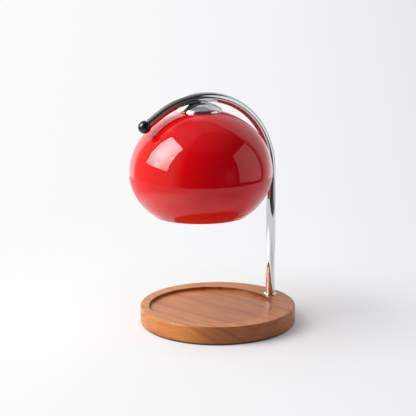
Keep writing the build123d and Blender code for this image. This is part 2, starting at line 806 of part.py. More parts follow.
with BuildPart() as bulb_base:
    with BuildSketch(Plane((shade_x, 0, bulb_top))):
        Circle(bulb_base_radius)
    extrude(amount=-bulb_base_height)
    with BuildSketch(Plane((shade_x, 0, bulb_top))):
        Circle(bulb_base_flange_radius)
    extrude(amount=-bulb_base_flange_height)
    fillet(bulb_base.edges().group_by(Axis.Z)[-1], radius=bulb_base_round)
    with BuildSketch(Plane((shade_x, 0, bulb_top))):
        with PolarLocations(pin_circle, 2):
            Circle(pin_radius)
    extrude(amount=-pin_root, mode=Mode.SUBTRACT)
bulb_base.part.label = "bulb_base"

with BuildPart() as bulb_reflector:
    with BuildSketch(Plane((shade_x, 0, bulb_front), x_dir=(1, 0, 0), z_dir=(0, -1, 0))):
        neck_top = bulb_neck_height - bulb_front
        neck_bottom = bulb_top - bulb_base_height - bulb_front
        with BuildLine():
            outer_neck = Line(
                (bulb_base_radius + bulb_wall, neck_top), (bulb_base_radius + bulb_wall, neck_bottom)
            )
            outer_bell = TangentArc((bulb_front_radius, 0), outer_neck @ 1, tangent=(0, 1))
            Line(outer_bell @ 0, (bulb_front_radius - bulb_wall, 0))
            inner_neck = Line((bulb_base_radius, neck_top), (bulb_base_radius, neck_bottom))
            TangentArc((bulb_front_radius - bulb_wall, 0), inner_neck @ 1, tangent=(0, 1))
            Line(outer_neck @ 0, inner_neck @ 0)
        make_face()
    revolve(axis=shade_axis)
bulb_reflector.part.label = "bulb_reflector"

with BuildPart() as bulb_lens:
    with BuildSketch(Plane((shade_x, 0, bulb_front))):
        Circle(bulb_front_radius - lens_clearance)
    extrude(amount=-lens_thickness)
    fillet(bulb_lens.edges().group_by(Axis.Z)[0], radius=lens_round)
bulb_lens.part.label = "bulb_lens"

with BuildPart() as bulb_capsule:
    with BuildSketch(Plane((shade_x, 0, bulb_top - bulb_base_height))):
        Circle(capsule_radius)
    extrude(amount=-capsule_length)
    fillet(bulb_capsule.edges().group_by(Axis.Z)[0], radius=capsule_end_round)
bulb_capsule.part.label = "bulb_capsule"

# ---------------------------------------------------------------- one STEP file per sub-part
pieces = [
    base_board.part, base_pad.part, bottom_cover.part, cover_screws.part, stem_bush.part,
    bush_washer, bush_nut, cord_gland.part, terminal_block.part, terminal_screws.part,
    block_screw.part, base_leads.part, arm_tube.part, stem_ferrule.part, stop_pin.part,
    wave_washer, retaining_ring.part, arm_cable.part, arm_end_plug.part, ball_stud.part,
    ball_knob.part, hanger_stud.part, dome_cap.part, shade.part, crown_washers, shade_nuts,
    holder_bracket.part, holder_screws.part, holder_nuts, lamp_holder.part,
    holder_contacts.part, bulb_pins.part, bulb_base.part, bulb_reflector.part,
    bulb_lens.part, bulb_capsule.part,
]
os.makedirs("parts", exist_ok=True)
for piece in pieces:
    export_step(piece, f"parts/{piece.label}.step")
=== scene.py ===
"""Candle warmer lamp: a round wooden base, a curved chrome arm with a ball knob, and a red
enamel shade.

Everything is in metres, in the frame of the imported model: +Z up, the stem at +X, the ball
towards -X, and the origin in the middle of the underside of the base.
"""

import math

import bpy
import numpy as np
from mathutils import Matrix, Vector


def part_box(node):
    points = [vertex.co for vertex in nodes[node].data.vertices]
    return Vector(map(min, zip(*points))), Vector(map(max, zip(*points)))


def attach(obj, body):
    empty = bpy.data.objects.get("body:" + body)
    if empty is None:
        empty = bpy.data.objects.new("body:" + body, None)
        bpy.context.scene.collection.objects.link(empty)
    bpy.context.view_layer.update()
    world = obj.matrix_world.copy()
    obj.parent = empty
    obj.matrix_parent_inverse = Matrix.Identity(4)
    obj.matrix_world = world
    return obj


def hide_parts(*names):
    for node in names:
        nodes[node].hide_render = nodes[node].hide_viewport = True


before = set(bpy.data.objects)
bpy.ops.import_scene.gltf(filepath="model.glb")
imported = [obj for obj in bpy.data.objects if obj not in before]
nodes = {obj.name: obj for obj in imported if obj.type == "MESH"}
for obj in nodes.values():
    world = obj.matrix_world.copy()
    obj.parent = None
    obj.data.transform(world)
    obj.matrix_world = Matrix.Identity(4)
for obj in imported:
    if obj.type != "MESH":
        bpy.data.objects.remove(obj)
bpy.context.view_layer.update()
MM = 0.001

# ---------------------------------------------------------------- sizes of the lamp
# Sizes in small letters are read from the frame or worked out from it.
board_low, board_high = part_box("base_board")
board_radius = (board_high.x - board_low.x) / 2
RECESS_X = -9.5 * MM
RECESS_RADIUS = 80.0 * MM

tube_low, tube_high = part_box("arm_tube")
TUBE_RADIUS = 6.0 * MM
TUBE_WALL = 1.0 * MM
stem_x = tube_high.x - TUBE_RADIUS
ARCH_START = 192.0 * MM  # the stem's straight part ends here
arch_rear = tube_high.z - TUBE_RADIUS - ARCH_START  # radius of the arch's first bend
ARCH_FRONT = 115.0 * MM  # radius of its second bend
ARCH_FRONT_ANGLE = math.radians(33.0)
ARM_END = 18.1 * MM  # the straight end behind the ball
rear_middle_x = stem_x - arch_rear
arch_top = ARCH_START + arch_rear
EDGE_HOLD = 0.03 * MM  # an extra ring this close to the tube's ends keeps their edges crisp

shade_low, shade_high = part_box("shade")
shade_xy = ((shade_low.x + shade_high.x) / 2, 0.0)
shade_radius = (shade_high.x - shade_low.x) / 2
SHADE_UPPER = 78.5 * MM  # half heights of the ellipses above and below the equator
SHADE_LOWER = 72.5 * MM
SHADE_WALL = 1.0 * MM
CROWN_RADIUS = 16.0 * MM
RIM_RADIUS = 60.0 * MM
equator = shade_high.z - SHADE_UPPER * math.sqrt(1 - (CROWN_RADIUS / shade_radius) ** 2)
STUD_HOLE = 4.1 * MM  # radius of the hole for the hanger stud in the shade and the dome cap

DOME_RIM = 5.0 * MM  # radius of the bend at the foot
DOME_WALL = 0.8 * MM
DOME_ROUNDS = 4  # repeats that find the dome's height
SADDLE_GAP = 0.1 * MM  # left between the dome cap and the tube above it
BALL_RADIUS = 8.0 * MM
BALL_SEAT = 5.5 * MM  # from the tube's end to the ball's middle
BALL_HOLE = 2.6 * MM

# Points along and around the new surfaces
SAME_POINT = 0.0001 * MM
POLE_RADIUS = 0.001 * MM
LEVEL_STEPS = 6
STEM_STEPS = 24
REAR_STEPS = 80
FRONT_STEPS = 34
ARM_END_STEPS = 6
UPPER_STEPS = 70
LOWER_STEPS = 50
EDGE_STEPS = 9
CAP_STEPS = 60
CAP_RIM_STEPS = 24
BALL_STEPS = 60
ROUND_STEPS = 72
SHADE_ROUND_STEPS = 192
DOME_ROUND_STEPS = 240
FLOOR_ROUND_STEPS = 96


# ---------------------------------------------------------------- small helpers
def linked(obj):
    """Puts a new object into the scene."""
    bpy.context.scene.collection.objects.link(obj)
    return obj


def standing(axes, place):
    """The matrix of an object at a place, with its own X, Y and Z along the three axes."""
    turn = Matrix([[axis[i] for axis in axes] for i in range(3)]).to_4x4()
    turn.translation = place
    return turn


def grid_mesh(name, points, close_u=False, close_v=False):
    """A surface from an array of points [u][v]. Neighbours in u and v make quads, and a closed
    direction joins its last row to its first. Faces point along (dP/du) x (dP/dv)."""
    nu, nv = points.shape[:2]
    u = np.arange(nu if close_u else nu - 1)
    v = np.arange(nv if close_v else nv - 1)
    uu, vv = np.meshgrid(u, v, indexing="ij")
    u2, v2 = (uu + 1) % nu, (vv + 1) % nv
    quads = np.stack([uu * nv + vv, u2 * nv + vv, u2 * nv + v2, uu * nv + v2], -1).reshape(-1, 4)
    mesh = bpy.data.meshes.new(name)
    mesh.from_pydata(points.reshape(-1, 3).tolist(), [], quads.tolist())
    mesh.polygons.foreach_set("use_smooth", np.ones(len(quads), bool))
    mesh.update()
    return linked(bpy.data.objects.new(name, mesh))


def arc(middle, radii, start, end, steps):
    """Points of a circle's arc in the plane (r, z), between two angles in degrees. Two radii, one
    across and one up, make it an ellipse's arc."""
    across, up = np.broadcast_to(radii, 2)
    a = np.radians(np.linspace(start, end, steps))
    return np.column_stack([middle[0] + across * np.cos(a), middle[1] + up * np.sin(a)])


def level_run(start, end, height):
    """Points of a level line in the plane (r, z)."""
    return np.column_stack([np.linspace(start, end, LEVEL_STEPS), np.full(LEVEL_STEPS, height)])


def joined(*runs):
    """Profile runs one after another, without points that repeat."""
    points = np.vstack(runs)
    step = np.linalg.norm(points - np.roll(points, 1, axis=0), axis=1)
    return points[step > SAME_POINT]


def round_angles(steps):
    """Angles all the way round, without the last, which would repeat the first."""
    return np.linspace(0, 2 * np.pi, steps, endpoint=False)


def turned_points(profile, axis_xy, steps):
    """A profile of points (r, z) turned about a vertical axis. It runs with the material on its
    left side, and its rows come back in turned order, so faces point outwards."""
    angle = round_angles(steps)[None, :]
    r, z = profile[::-1, 0][:, None], profile[::-1, 1][:, None]
    return np.stack(
        [axis_xy[0] + r * np.cos(angle), axis_xy[1] + r * np.sin(angle), z + 0 * angle], -1
    )


# ---------------------------------------------------------------- camera
IMAGE_SIDE = 416
FOCAL_PIXELS = 1100.0
SENSOR = 36.0
CAMERA_PLACE = (-0.6887, -1.1813, 0.4455)
CAMERA_HEADING = math.radians(29.74)
CAMERA_PITCH = math.radians(12.21)
CAMERA_ROLL = math.radians(0.262)


def make_camera():
    """The camera looks along its heading, tipped down by the pitch and turned by the roll."""
    data = bpy.data.cameras.new("camera")
    camera = linked(bpy.data.objects.new("camera", data))
    data.sensor_fit = "HORIZONTAL"
    data.sensor_width = SENSOR
    data.lens = FOCAL_PIXELS / IMAGE_SIDE * SENSOR
    data.clip_start, data.clip_end = 0.05, 50.0
    level_ahead = np.array([math.sin(CAMERA_HEADING), math.cos(CAMERA_HEADING), 0.0])
    level_right = np.array([math.cos(CAMERA_HEADING), -math.sin(CAMERA_HEADING), 0.0])
    ahead = level_ahead * math.cos(CAMERA_PITCH) - np.array([0, 0, math.sin(CAMERA_PITCH)])
    level_up = np.cross(level_right, ahead)
    right = math.cos(CAMERA_ROLL) * level_right - math.sin(CAMERA_ROLL) * level_up
    up = math.cos(CAMERA_ROLL) * level_up + math.sin(CAMERA_ROLL) * level_right
    camera.matrix_world = standing((right, up, -ahead), CAMERA_PLACE)
    bpy.context.scene.camera = camera


make_camera()
bpy.context.scene.view_settings.view_transform = "Standard"


# ---------------------------------------------------------------- material helpers
class Graph:
    """Short calls that add nodes to a tree and join them. A number or a socket may be given for
    any value."""

    def __init__(self, tree):
        self.tree = tree

    def node(self, kind, **values):
        made = self.tree.nodes.new(kind)
        for name, value in values.items():
            setattr(made, name, value)
        return made

    def join(self, source, target):
        self.tree.links.new(source, target)

    def put(self, source, target):
        """Joins a socket, or writes a number or a colour."""
        if isinstance(source, bpy.types.NodeSocket):
            self.join(source, target)
        elif isinstance(source, (int, float)):
            target.default_value = source
        else:
            target.default_value = (*source, 1)[: len(target.default_value)]

    def math(self, operation, first, second=0.0):
        made = self.node("ShaderNodeMath", operation=operation)
        for source, target in zip((first, second), made.inputs):
            self.put(source, target)
        return made.outputs[0]

    def plus(self, first, second):
        return self.math("ADD", first, second)

    def times(self, first, second):
        return self.math("MULTIPLY", first, second)

    def length(self, first, second):
        """The long side of a right triangle with these two short sides."""
        return self.math("SQRT", self.plus(self.times(first, first), self.times(second, second)))

    def distance(self, first, second, middle):
        """How far a place lies from a middle."""
        return self.length(self.plus(first, -middle[0]), self.plus(second, -middle[1]))

    def along(self, first, second, direction):
        """How far a place lies along a direction."""
        return self.plus(self.times(first, direction[0]), self.times(second, direction[1]))

    def step(self, value, start, end, low=0.0, high=1.0):
        """A smooth step from low at start to high at end."""
        made = self.node("ShaderNodeMapRange", interpolation_type="SMOOTHSTEP")
        for source, target in zip((value, start, end, low, high), made.inputs):
            self.put(source, target)
        return made.outputs[0]

    def band(self, value, low, high, soft):
        """One between low and high, and zero outside, with soft edges."""
        return self.times(
            self.step(value, low - soft, low + soft), self.step(value, high + soft, high - soft)
        )

    def split(self, vector):
        made = self.node("ShaderNodeSeparateXYZ")
        self.join(vector, made.inputs[0])
        return made.outputs

    def ramp(self, value, stops):
        """Colours or greys at positions along 0 to 1."""
        made = self.node("ShaderNodeValToRGB")
        elements = made.color_ramp.elements
        while len(elements) < len(stops):
            elements.new(0.5)
        for element, (position, colour) in zip(elements, stops):
            element.position = position
            element.color = (*colour, 1) if hasattr(colour, "__len__") else (colour,) * 3 + (1,)
        self.join(value, made.inputs["Fac"])
        return made.outputs["Color"]

    def mixed(self, amount, first, second, blend="MIX"):
        """Mixes two colours."""
        made = self.node("ShaderNodeMix", data_type="RGBA", blend_type=blend)
        inputs = [s for s in made.inputs if s.enabled]
        for source, target in zip((amount, first, second), inputs):
            self.put(source, target)
        return next(s for s in made.outputs if s.enabled)

    def blend(self, amount, first, second):
        """Mixes two shaders."""
        made = self.node("ShaderNodeMixShader")
        for source, target in zip((amount, first, second), made.inputs):
            self.put(source, target)
        return made.outputs[0]

    def glow(self, kind, colour, strength=1.0):
        made = self.node(kind)
        self.put(colour, made.inputs["Color"])
        self.put(strength, made.inputs["Strength"])
        return made.outputs[0]

    def show(self, shader, output="ShaderNodeOutputMaterial"):
        self.join(shader, self.node(output).inputs["Surface"])


class Finish(Graph):
    """One material with its Principled shader."""

    def __init__(self, name):
        self.material = bpy.data.materials.new(name)
        self.material.use_nodes = True
        super().__init__(self.material.node_tree)
        self.surface = self.tree.nodes["Principled BSDF"]
        self.place = self.tree.nodes.new("ShaderNodeTexCoord").outputs["Object"]

    def set(self, **values):
        for name, value in values.items():
            self.surface.inputs[name.replace("_", " ")].default_value = value
        return self

    def feed(self, source, name):
        self.join(source, self.surface.inputs[name])

    def scaled(self, scale, rotation=(0, 0, 0), shift=(0, 0, 0)):
        """The object's coordinates, turned and then stretched, for a grain."""
        turn = self.node("ShaderNodeMapping")
        turn.inputs["Rotation"].default_value = rotation
        turn.inputs["Location"].default_value = shift
        self.join(self.place, turn.inputs["Vector"])
        stretch = self.node("ShaderNodeMapping")
        stretch.inputs["Scale"].default_value = scale
        self.join(turn.outputs[0], stretch.inputs["Vector"])
        return stretch.outputs[0]

    def noise(self, scale, detail, vector=None, distortion=0.0, roughness=0.5):
        made = self.node("ShaderNodeTexNoise")
        made.inputs["Scale"].default_value = scale
        made.inputs["Detail"].default_value = detail
        made.inputs["Distortion"].default_value = distortion
        made.inputs["Roughness"].default_value = roughness
        self.join(vector or self.place, made.inputs["Vector"])
        return made.outputs["Fac"]

    def bump(self, height, strength, distance):
        made = self.node("ShaderNodeBump")
        made.inputs["Strength"].default_value = strength
        made.inputs["Distance"].default_value = distance
        self.join(height, made.inputs["Height"])
        self.feed(made.outputs["Normal"], "Normal")


def bare_material(name):
    """A material without a Principled shader, and the graph that fills it."""
    material = bpy.data.materials.new(name)
    material.use_nodes = True
    material.node_tree.nodes.clear()
    return material, Graph(material.node_tree)


# ---------------------------------------------------------------- finishes
WHITE = (1.0, 1.0, 1.0)
BUMP_DEPTH = 0.2 * MM
BOARD_SIDE = (0.8, -0.5)  # towards the pale board in the studio
GRAIN_TURN = math.radians(-20)
PITH_ACROSS = 15.0 * MM  # the line that the growth rings go round
PITH_HEIGHT = 75.0 * MM
RING_STEP = 9.0 * MM
RING_DRIFT = 50.0 * MM
FOOT_SHADE_FADE = (3.8 * MM, 2.4 * MM)  # each pair says where a darkening begins and where it is full, for the stained end grain or for painted shade
EDGE_FADE = (board_radius - 3.5 * MM, board_radius - 0.5 * MM)
END_TURN = math.radians(-8)
END_FADE = (0.68, 0.97)
STEM_SIDE = (0.87, -0.5)  # towards the stem and a little to the front
STEM_SHADE_FADE = (-65.0 * MM, 20.0 * MM)
RECESS_WALL_SHADE_BAND = (RECESS_RADIUS - 0.8 * MM, RECESS_RADIUS + 0.3 * MM)
RECESS_WALL_SHADE_SOFT = 0.3 * MM
SEAT_SHADE_FADE = (RECESS_RADIUS - 0.5 * MM, RECESS_RADIUS - 1.0 * MM)


def polished_chrome():
    s = Finish("polished_chrome").set(Base_Color=(0.80, 0.80, 0.82, 1), Metallic=1.0)
    s.feed(s.ramp(s.noise(60, 4), [(0.3, 0.025), (0.8, 0.06)]), "Roughness")
    return s.material


def red_enamel():
    """Deep red glass enamel: a matt colour under a clear glossy coat, faintly cloudy and uneven,
    with painted light: the side away from the board, which the window lights, is a warmer, more
    orange red.
    """
    s = Finish("red_enamel").set(
        Roughness=0.5, Specular_IOR_Level=0.0, Coat_Weight=1.0, Coat_Roughness=0.01, Coat_IOR=1.5
    )
    tone = s.ramp(s.noise(14, 3), [(0.3, (0.70, 0.0004, 0.0080)), (0.7, (0.76, 0.0010, 0.0100))])
    x, y, _ = s.split(s.place)
    # Painted light: away from the board, on the side the window lights, the red turns warmer and
    # more orange.
    sideways = s.along(x, y, BOARD_SIDE)
    tone = s.mixed(s.step(sideways, 0.055, -0.075), tone, (0.71, 0.0020, 0.0045))
    s.feed(tone, "Base Color")
    s.bump(s.noise(90, 2), 0.01, BUMP_DEPTH)
    return s.material


def white_enamel():
    s = Finish("white_enamel").set(Roughness=0.35, Coat_Weight=0.5, Coat_Roughness=0.1)
    tone = s.ramp(s.noise(30, 3), [(0.3, (0.80, 0.79, 0.76)), (0.7, (0.86, 0.85, 0.82))])
    s.feed(tone, "Base Color")
    return s.material


def oiled_wood():
    """Stained hardwood. The grain runs near Y: the growth rings are circles about a line along the
    grain above the board, bent by noise, with fine fibres and short dark pores along it. The end
    grain is stained darker, and painted shade darkens the foot of the edge, the side towards the
    stem, the recess's wall and, a little, the recess's floor."""
    s = Finish("oiled_wood").set(Specular_IOR_Level=0.55)
    turn = (0, 0, GRAIN_TURN)
    drift = s.noise(1.0, 2, s.scaled((14, 3.0, 14), turn))
    across, _, up = s.split(s.scaled((1, 1, 1), turn, (PITH_ACROSS, 0, -PITH_HEIGHT)))
    ring = s.times(s.plus(s.length(across, up), s.times(drift, RING_DRIFT)), 1 / RING_STEP)
    tone = s.ramp(s.math("PINGPONG", ring, 1.0), [
        (0.0, (0.660, 0.215, 0.037)), (0.55, (0.700, 0.250, 0.045)),
        (0.85, (0.600, 0.180, 0.031)), (1.0, (0.550, 0.160, 0.027)),
    ])

    fibre = s.noise(1.0, 6, s.scaled((420, 16, 420), turn), 0.2, 0.65)
    cloud = s.noise(1.0, 3, s.scaled((30, 12, 30), turn), 0.6, 0.5)
    pores = s.noise(1.0, 2, s.scaled((1100, 70, 1100), turn), 0.0, 0.5)
    for amount, pattern, stops in (
        (0.8, cloud, ((0.32, (0.78, 0.70, 0.64)), (0.66, WHITE))),
        (0.6, fibre, ((0.30, (0.74, 0.66, 0.60)), (0.60, WHITE))),
        (0.5, pores, ((0.30, (0.55, 0.46, 0.40)), (0.40, WHITE))),
    ):
        tone = s.mixed(amount, tone, s.ramp(pattern, stops), "MULTIPLY")

    east, north, height = s.split(s.place)
    # Painted shade: the board darkens towards its foot, where the shadow under its edge falls.
    foot = s.step(height, *FOOT_SHADE_FADE)
    rim = s.length(east, north)
    edge = s.step(rim, *EDGE_FADE)
    endwise = s.math("ABSOLUTE", s.along(east, north, (math.sin(END_TURN), -math.cos(END_TURN))))
    end_grain = s.times(s.step(s.math("DIVIDE", endwise, rim), *END_FADE), edge)
    # Painted shade: the board's side towards the stem, away from the window, is darkened.
    painted_stem_side_shade = s.times(s.step(s.along(east, north, STEM_SIDE), *STEM_SHADE_FADE), edge)
    reach = s.distance(east, north, (RECESS_X, 0.0))
    # Painted shade: the recess's wall is darkened, as it lies in shade.
    wall = s.band(reach, *RECESS_WALL_SHADE_BAND, RECESS_WALL_SHADE_SOFT)
    # Painted shade: the recess's floor is a little darker than the rim around it.
    painted_seat_shade = s.step(reach, *SEAT_SHADE_FADE)
    # Each pair is a mask and the colour it multiplies in: stained end grain, or painted shade.
    for amount, stain_or_shade in (
        (foot, (0.36, 0.34, 0.42)),
        (end_grain, (0.70, 0.63, 0.62)),
        (painted_stem_side_shade, (0.80, 0.70, 0.52)),
        (wall, (0.42, 0.36, 0.60)),
        (painted_seat_shade, (0.92, 0.89, 0.90)),
    ):
        tone = s.mixed(amount, tone, stain_or_shade, "MULTIPLY")
    s.feed(tone, "Base Color")
    s.feed(s.ramp(fibre, [(0.2, 0.40), (0.8, 0.30)]), "Roughness")
    s.bump(fibre, 0.10, BUMP_DEPTH)
    return s.material


def plain_finish(name, colour, roughness, metallic=0.0, scale=220, spread=0.12, **more):
    """A finish with a fine cloudy change of tone and of roughness."""
    s = Finish(name).set(Metallic=metallic, **more)
    grain = s.noise(scale, 4)
    low = tuple(c * (1 - spread) for c in colour)
    high = tuple(min(1.0, c * (1 + spread)) for c in colour)
    s.feed(s.ramp(grain, [(0.3, low), (0.7, high)]), "Base Color")
    s.feed(s.ramp(grain, [(0.2, roughness * 0.85), (0.8, roughness * 1.15)]), "Roughness")
    return s.material


def clear_glass(name, tint, roughness=0.0):
    s = Finish(name).set(Transmission_Weight=1.0, IOR=1.5, Roughness=roughness)
    paler = tuple(min(1, c * 1.02) for c in tint)
    s.feed(s.ramp(s.noise(40, 2), [(0.3, tint), (0.7, paler)]), "Base Color")
    return s.material


chrome = polished_chrome()
enamel = red_enamel()
shade_lining = white_enamel()
wood = oiled_wood()
ball_black = plain_finish("ball_black", (0.010, 0.010, 0.012), 0.17, scale=90,
                          Specular_IOR_Level=0.5)
rubber = plain_finish("pad_rubber", (0.055, 0.055, 0.058), 0.8, scale=900, spread=0.3)
black_paint = plain_finish("black_paint", (0.03, 0.03, 0.03), 0.45, scale=300)
black_plastic = plain_finish("black_plastic", (0.025, 0.025, 0.026), 0.5, scale=500)
milky_plastic = plain_finish("milky_plastic", (0.75, 0.76, 0.73), 0.45, scale=80, spread=0.04)
zinc = plain_finish("zinc_plate", (0.58, 0.58, 0.60), 0.3, metallic=1.0, scale=400)
brass = plain_finish("turned_brass", (0.78, 0.58, 0.27), 0.25, metallic=1.0, scale=300)
white_sleeve = plain_finish("white_sleeve", (0.80, 0.79, 0.75), 0.6, scale=700, spread=0.06)
ceramic = plain_finish("holder_ceramic", (0.78, 0.76, 0.70), 0.5, scale=350, spread=0.05)
glazed = plain_finish("bulb_ceramic", (0.85, 0.84, 0.80), 0.2, scale=60, spread=0.03,
                      Coat_Weight=0.6)
silver = plain_finish("reflector_silver", (0.86, 0.86, 0.88), 0.08, metallic=1.0, scale=150,
                      spread=0.04)
lens_glass = clear_glass("lens_glass", (0.95, 0.96, 0.97), 0.02)
capsule_glass = clear_glass("capsule_glass", (0.97, 0.96, 0.92))

finish_of = {
    "base_board": wood, "base_pad": rubber, "bottom_cover": black_paint, "cover_screws": zinc,
    "stem_bush": chrome, "bush_washer": zinc, "bush_nut": zinc, "cord_gland": black_plastic,
    "terminal_block": milky_plastic, "terminal_screws": brass, "block_screw": zinc,
    "base_leads": white_sleeve, "arm_tube": chrome, "stem_ferrule": zinc, "stop_pin": zinc,
    "wave_washer": zinc, "retaining_ring": zinc, "arm_cable": white_sleeve,
    "arm_end_plug": black_plastic, "ball_stud": zinc, "ball_knob": ball_black,
    "hanger_stud": chrome, "dome_cap": chrome, "shade": enamel, "crown_washers": zinc,
    "shade_nuts": zinc, "holder_bracket": zinc, "holder_screws": zinc, "holder_nuts": zinc,
    "lamp_holder": ceramic, "holder_contacts": brass, "bulb_pins": brass, "bulb_base": glazed,
    "bulb_reflector": silver, "bulb_lens": lens_glass, "bulb_capsule": capsule_glass,
}
for node, finish in finish_of.items():
    nodes[node].data.materials.clear()
    nodes[node].data.materials.append(finish)


def dress(piece, body, finishes, replaced):
    """Gives a piece its finishes and its body, and hides the node it stands for."""
    for finish in finishes:
        piece.data.materials.append(finish)
    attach(piece, body)
    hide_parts(replaced)


# ---------------------------------------------------------------- shade
def make_shade():
    """Two half ellipses share the equator: the outside runs from the crown down to the rim, a half
    circle rounds the rim, and the inside goes back up one wall's thickness within it."""
    inner = shade_radius - SHADE_WALL
    inner_upper, inner_lower = SHADE_UPPER - SHADE_WALL, SHADE_LOWER - SHADE_WALL
    middle = (0.0, equator)

    def angle_at(reach, radius):
        """The ellipse's own angle where it is this far from the axis."""
        return math.degrees(math.acos(reach / radius))

    crown_angle = angle_at(CROWN_RADIUS, shade_radius)
    rim_angle = angle_at(RIM_RADIUS, shade_radius)
    inner_crown_angle = angle_at(CROWN_RADIUS, inner)
    inner_rim_angle = angle_at(RIM_RADIUS - SHADE_WALL, inner)
    flat = level_run(STUD_HOLE, CROWN_RADIUS, shade_high.z)
    upper = arc(middle, (shade_radius, SHADE_UPPER), crown_angle, 0, UPPER_STEPS)
    lower = arc(middle, (shade_radius, SHADE_LOWER), 0, -rim_angle, LOWER_STEPS)
    lip_middle = (RIM_RADIUS - SHADE_WALL / 2, lower[-1, 1])
    lip = arc(lip_middle, SHADE_WALL / 2, 0, -180, EDGE_STEPS)
    inside_lower = arc(middle, (inner, inner_lower), -inner_rim_angle, 0, LOWER_STEPS)
    inside_upper = arc(middle, (inner, inner_upper), 0, inner_crown_angle, UPPER_STEPS)
    ceiling = level_run(CROWN_RADIUS, STUD_HOLE, shade_high.z - SHADE_WALL)
    profile = joined(flat, upper, lower, lip, inside_lower, inside_upper, ceiling)
    points = turned_points(profile, shade_xy, SHADE_ROUND_STEPS)
    shade = grid_mesh("enamel_shade", points, close_u=True, close_v=True)

    # The lining covers the inside's rows, which come first, up to the row next to the rim.
    lined_rows = len(inside_lower) + len(inside_upper) + len(ceiling) - 3
    finish_index = np.zeros(points.shape[:2], int)
    finish_index[:lined_rows] = 1
    shade.data.polygons.foreach_set("material_index", finish_index.ravel())
    return shade


dress(make_shade(), "arm", [enamel, shade_lining], "shade")


# ---------------------------------------------------------------- arm tube
def arm_centre_line():
    """The arm's centre line in the XZ plane, and its last direction: a straight stem, a quarter
    circle, a second arc that goes on bending forwards, and a short straight end that is tangent
    to it."""
    heights = np.linspace(tube_low.z, ARCH_START, STEM_STEPS)
    heights = np.insert(heights, 1, tube_low.z + EDGE_HOLD)
    stem = np.column_stack([np.full(len(heights), stem_x), heights])
    rear = arc((rear_middle_x, ARCH_START), arch_rear, 0, 90, REAR_STEPS)[1:]
    front_turn = 90 + math.degrees(ARCH_FRONT_ANGLE)
    front = arc((rear_middle_x, arch_top - ARCH_FRONT), ARCH_FRONT, 90, front_turn, FRONT_STEPS)[1:]
    along = np.array([-math.cos(ARCH_FRONT_ANGLE), -math.sin(ARCH_FRONT_ANGLE)])
    reach = np.linspace(0, ARM_END, ARM_END_STEPS)[1:]
    reach = np.insert(reach, -1, ARM_END - EDGE_HOLD)
    end = front[-1] + along * reach[:, None]
    return np.vstack([stem, rear, front, end]), along


arm_line, arm_direction = arm_centre_line()


def make_arm():
    """Circles of the tube's outer and inner radius stand square to the centre line. The wall's
    outside runs up the line and its inside comes back, so the two ends close as rings."""
    tangent = np.gradient(arm_line, axis=0)
    tangent /= np.linalg.norm(tangent, axis=1)[:, None]
    normal = np.column_stack([tangent[:, 1], -tangent[:, 0]])
    angle = round_angles(ROUND_STEPS)

    def wall(radius):
        across = arm_line[:, None, :] + radius * np.cos(angle)[None, :, None] * normal[:, None, :]
        depth = radius * np.sin(angle)[None, :] + 0 * arm_line[:, :1]
        return np.stack([across[..., 0], depth, across[..., 1]], -1)

    shell = np.concatenate([wall(TUBE_RADIUS), wall(TUBE_RADIUS - TUBE_WALL)[::-1]])
    return grid_mesh("arm", shell[:, ::-1], close_u=True, close_v=True)


dress(make_arm(), "arm", [chrome], "arm_tube")


# ---------------------------------------------------------------- dome cap
def make_dome():
    """A part of a ball from the hole down to a slope, then a small arc that turns it upright at the
    foot. The inside is the same line one wall's thickness within, and the foot edge is rounded.
    Under the tube the top is pressed down to the tube's own round underside."""
    low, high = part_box("dome_cap")
    radius = (high.x - low.x) / 2
    rim_middle = radius - DOME_RIM

    # The hole cuts the ball's top off, so the uncut height is found in a few rounds.
    height = high.z - low.z
    for _ in range(DOME_ROUNDS):
        rise = height - DOME_RIM
        drop = (rim_middle**2 - rise**2) / (2 * rise)
        ball = drop + height
        height = high.z - low.z + ball - math.sqrt(ball**2 - STUD_HOLE**2)
    slope = math.degrees(math.atan2(drop, rim_middle))

    def line(inset):
        """The line that lies inset within the outside, down to where the foot's edge begins."""
        top = math.degrees(math.acos(STUD_HOLE / (ball - inset)))
        cap = arc((0, low.z - drop), ball - inset, top, slope, CAP_STEPS)
        rim = arc((rim_middle, low.z), DOME_RIM - inset, slope, 0, CAP_RIM_STEPS)
        points = np.vstack([cap, rim])
        return points[points[:, 1] > low.z + DOME_WALL / 2]

    foot_middle = (radius - DOME_WALL / 2, low.z + DOME_WALL / 2)
    foot = arc(foot_middle, DOME_WALL / 2, 0, -180, EDGE_STEPS)
    inside = line(DOME_WALL)[::-1]
    points = turned_points(joined(line(0), foot, inside), shade_xy, DOME_ROUND_STEPS)

    depth = np.sqrt(np.maximum(TUBE_RADIUS**2 - points[..., 1] ** 2, 0))
    forwards = points[..., 0] - rear_middle_x
    under = arch_top - ARCH_FRONT + np.sqrt(ARCH_FRONT**2 - forwards**2) - depth
    inner_rows = np.arange(len(points)) < len(inside)
    limit = under - SADDLE_GAP - np.where(inner_rows, DOME_WALL, 0)[:, None]
    points[..., 2] = np.where(depth > 0, np.minimum(points[..., 2], limit), points[..., 2])
    return grid_mesh("dome", points, close_u=True, close_v=True)


dress(make_dome(), "arm", [chrome], "dome_cap")


